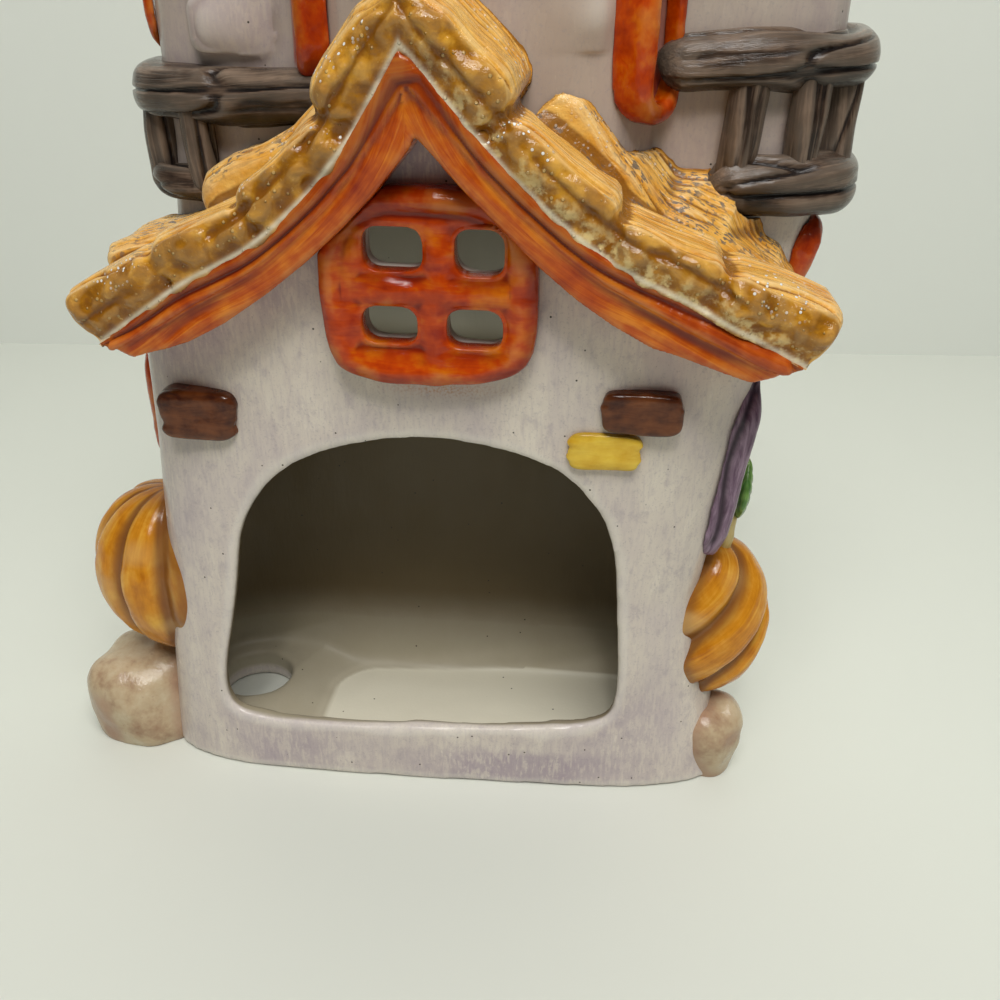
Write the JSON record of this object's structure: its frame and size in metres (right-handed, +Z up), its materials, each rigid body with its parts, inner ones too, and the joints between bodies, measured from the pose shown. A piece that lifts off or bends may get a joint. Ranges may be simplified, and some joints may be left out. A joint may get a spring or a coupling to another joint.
{
  "type": "ceramic house luminary",
  "caption": "Glazed ceramic cottage luminary with a thatched roof, a tower behind it and an arched candle opening in front.",
  "frame": {"origin": "middle of the base under the floor slab, on the surface the house stands on", "axes": "+Z up, the arched candle opening faces -Y, +X to the right seen from the front"},
  "size_m": [0.1925, 0.0885, 0.276],
  "materials": {
    "cream_glaze": "gloss cream glaze",
    "lavender_wash": "gloss glaze over a brushed lavender-grey wash",
    "window_orange": "gloss orange glaze",
    "barge_orange": "gloss streaky orange glaze",
    "thatch_amber": "gloss amber glaze with dark and light specks",
    "brick_brown": "gloss brown glaze",
    "brick_yellow": "gloss yellow glaze",
    "balcony_timber": "gloss grey-brown glaze with grain",
    "pumpkin_ochre": "gloss ochre glaze, brown in the grooves",
    "rock_beige": "gloss mottled beige glaze",
    "leaf_green": "gloss green glaze",
    "stem_straw": "gloss straw glaze",
    "shutter_purple": "gloss brushed purple glaze",
    "tower_roof_amber": "gloss amber glaze with dark and light specks"
  },
  "bodies": {
    "root": {"floor_slab": "cream_glaze", "lower_walls": "lavender_wash", "gable_storey": "lavender_wash", "tower_walls": "lavender_wash", "gable_window": "window_orange", "bargeboard_left": "barge_orange", "bargeboard_right": "barge_orange", "barge_moulding_left": "barge_orange", "barge_moulding_right": "barge_orange", "thatch_ridge": "thatch_amber", "thatch_left_upper": "thatch_amber", "thatch_left_middle": "thatch_amber", "thatch_left_eave": "thatch_amber", "thatch_right_upper": "thatch_amber", "thatch_right_middle": "thatch_amber", "thatch_right_eave": "thatch_amber", "thatch_left_back": "thatch_amber", "thatch_left_corner": "thatch_amber", "thatch_right_back": "thatch_amber", "brick_brown_left": "brick_brown", "brick_brown_right": "brick_brown", "brick_yellow": "brick_yellow", "tower_brick_left": "lavender_wash", "tower_brick_right": "lavender_wash", "tower_window_left": "window_orange", "tower_window_right": "window_orange", "wing_window_left": "window_orange", "side_window_left": "window_orange", "side_window_right": "window_orange", "balcony_left_rail": "balcony_timber", "balcony_left_floor": "balcony_timber", "balcony_left_baluster_1": "balcony_timber", "balcony_left_baluster_2": "balcony_timber", "balcony_left_baluster_3": "balcony_timber", "balcony_right_rail": "balcony_timber", "balcony_right_floor": "balcony_timber", "balcony_right_baluster_1": "balcony_timber", "balcony_right_baluster_2": "balcony_timber", "balcony_right_baluster_3": "balcony_timber", "pumpkin_left": "pumpkin_ochre", "pumpkin_right": "pumpkin_ochre", "rock_left": "rock_beige", "rock_right": "rock_beige", "leaf": "leaf_green", "leaf_stem": "stem_straw", "side_shutter": "shutter_purple", "tower_roof_course_1": "tower_roof_amber", "tower_roof_course_2": "tower_roof_amber", "tower_roof_course_3": "tower_roof_amber", "tower_roof_cap": "tower_roof_amber", "door_surround": "window_orange", "door_panel": "shutter_purple", "door_knob": "brick_yellow", "door_step": "rock_beige", "far_window": "window_orange"}
  },
  "joints": []
}
